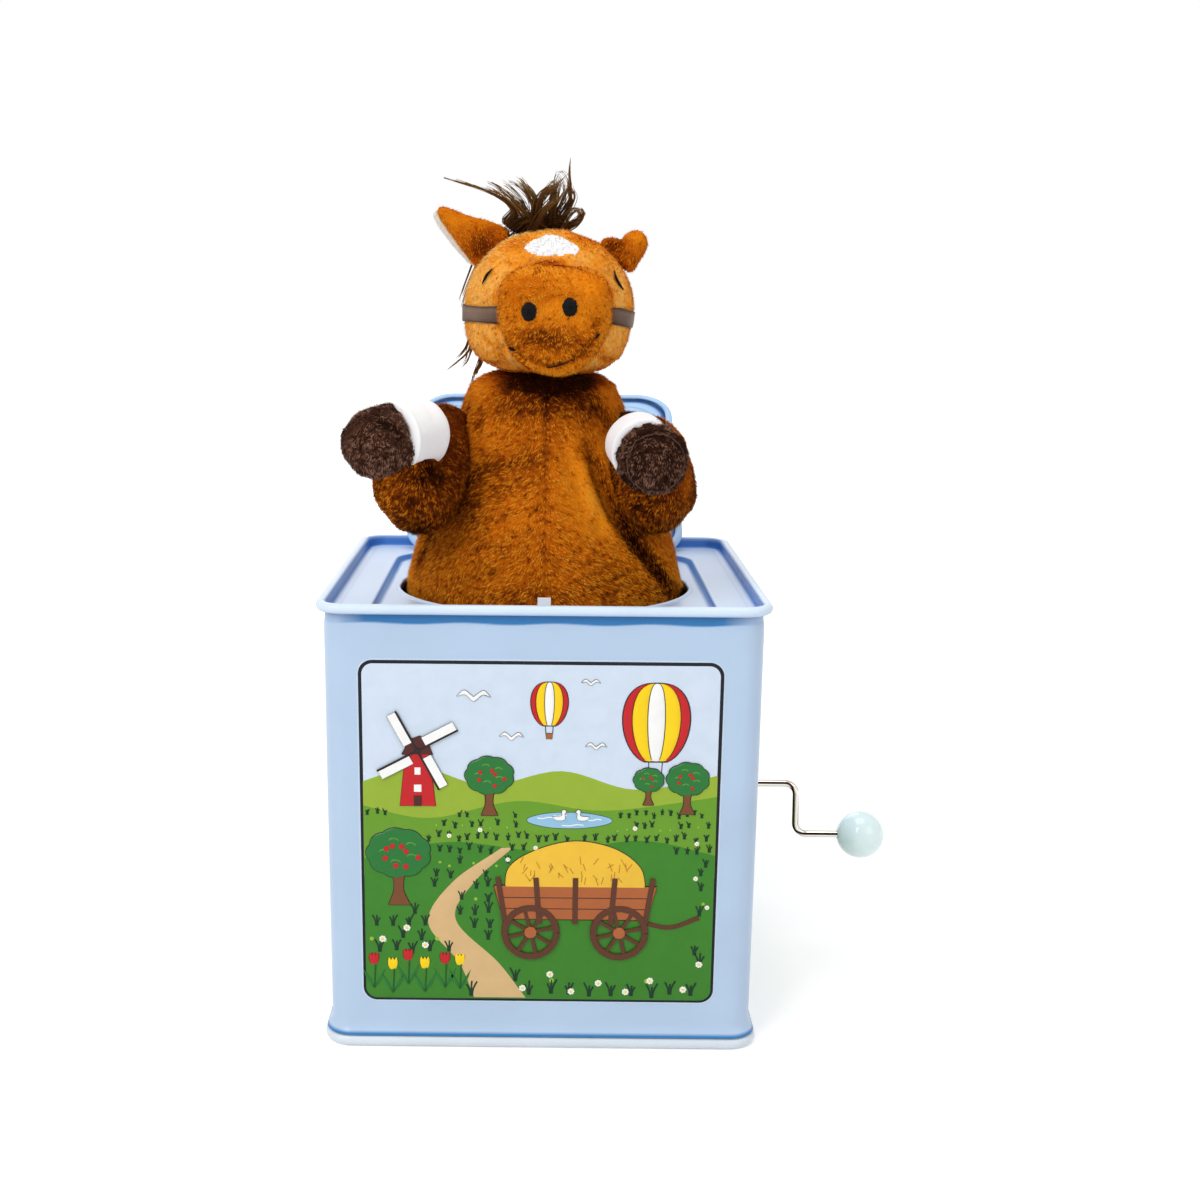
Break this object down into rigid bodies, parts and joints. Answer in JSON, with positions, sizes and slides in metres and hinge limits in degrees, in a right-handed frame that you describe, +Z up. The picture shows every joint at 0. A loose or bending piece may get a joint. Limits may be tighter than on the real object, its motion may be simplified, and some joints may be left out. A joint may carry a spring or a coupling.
{
  "type": "jack-in-the-box",
  "caption": "Square light blue tin with a chrome crank and ball knob; a brown plush horse stands out of it on a coil spring behind a hinged lid, with a musical movement and lid catch inside.",
  "frame": {"origin": "Centre of the tin's flat underside, on the surface it stands on.", "axes": "+Z is up, out of the tin's mouth; -Y is the front, where the puppet faces; +X is the side that the crank comes out of."},
  "size_m": [0.1982, 0.2167, 0.2862],
  "materials": {
    "tin_blue": "printed light blue tinplate with a soft gloss",
    "bead_blue": "pale blue-white lacquered tinplate",
    "lid_blue": "light blue lacquered tinplate",
    "chrome": "bright chrome wire",
    "knob_aqua": "glossy pale aqua plastic",
    "steel": "plain zinc-plated or drawn steel",
    "brass": "plain brass",
    "nylon": "natural white nylon",
    "pale_plastic": "pale blue-white moulded plastic",
    "chestnut_plush": "short-pile chestnut plush",
    "white_plush": "short-pile white plush",
    "dark_brown_plush": "short-pile dark brown plush",
    "hair": "dark brown strands of soft yarn-like hair",
    "ribbon": "grey-brown woven ribbon"
  },
  "bodies": {
    "root": {"tin_body": "tin_blue", "top_plate": "tin_blue", "base_plate": "bead_blue", "hinge_lug_left": "tin_blue", "hinge_lug_right": "tin_blue", "crank_bush": "nylon", "movement_frame": "steel", "comb": "steel", "comb_screw_1": "steel", "comb_screw_2": "steel", "frame_screw_1": "steel", "frame_screw_2": "steel", "hanger_left": "steel", "hanger_right": "steel", "catch_spring": "steel", "spring_seat": "steel", "seat_rivet_1": "steel", "seat_rivet_2": "steel", "seat_rivet_3": "steel", "hem_ring": "steel", "pop_spring": "steel", "plush_body": "chestnut_plush"},
    "lid": {"lid": "lid_blue", "hinge_pin": "steel"},
    "crank": {"crank_handle": "chrome", "crank_knob": "knob_aqua", "crank_collar": "steel", "worm": "nylon"},
    "drum": {"drum_arbor": "steel", "worm_wheel": "nylon", "music_drum": "brass", "trip_cam": "nylon", "arbor_clip": "steel"},
    "latch": {"rock_shaft": "steel", "latch_hook": "pale_plastic", "trip_arm": "pale_plastic"},
    "puppet": {"head_disc": "nylon", "plush_head": "chestnut_plush", "plush_muzzle": "chestnut_plush", "ear_left": "chestnut_plush", "ear_right": "chestnut_plush", "forelock": "hair", "mane": "hair", "halter_strap_left": "ribbon", "halter_strap_right": "ribbon", "arm_left": "chestnut_plush", "sock_left": "white_plush", "hoof_left": "dark_brown_plush", "arm_right": "chestnut_plush", "sock_right": "white_plush", "hoof_right": "dark_brown_plush"}
  },
  "joints": [
    {"name": "puppet_pop", "type": "slide", "parent": "root", "child": "puppet", "axis": [0, 0, -1], "range_m": [0, 0.142], "stiffness_N_per_m": 40, "springref_m": -0.06, "deforming": ["pop_spring", "plush_body", "arm_left", "sock_left", "hoof_left", "arm_right", "sock_right", "hoof_right", "forelock"]},
    {"name": "lid_hinge", "type": "hinge", "parent": "root", "child": "lid", "pos_m": [0, 0.0505, 0.1469], "axis": [1, 0, 0], "range_deg": [0, 150.5]},
    {"name": "crank_turn", "type": "hinge", "parent": "root", "child": "crank", "pos_m": [0, 0, 0.0703], "axis": [1, 0, 0], "continuous": true},
    {"name": "drum_turn", "type": "hinge", "parent": "root", "child": "drum", "pos_m": [0.057, 0, 0.0819], "axis": [0, 1, 0], "continuous": true},
    {"name": "latch_rock", "type": "hinge", "parent": "root", "child": "latch", "pos_m": [0, -0.0625, 0.12], "axis": [-1, 0, 0], "range_deg": [0, 4]}
  ],
  "couplings": [
    {"joint": "lid_hinge", "follows": "puppet_pop", "rad_per_m": 18.498},
    {"joint": "drum_turn", "follows": "crank_turn", "ratio": 0.0625}
  ]
}
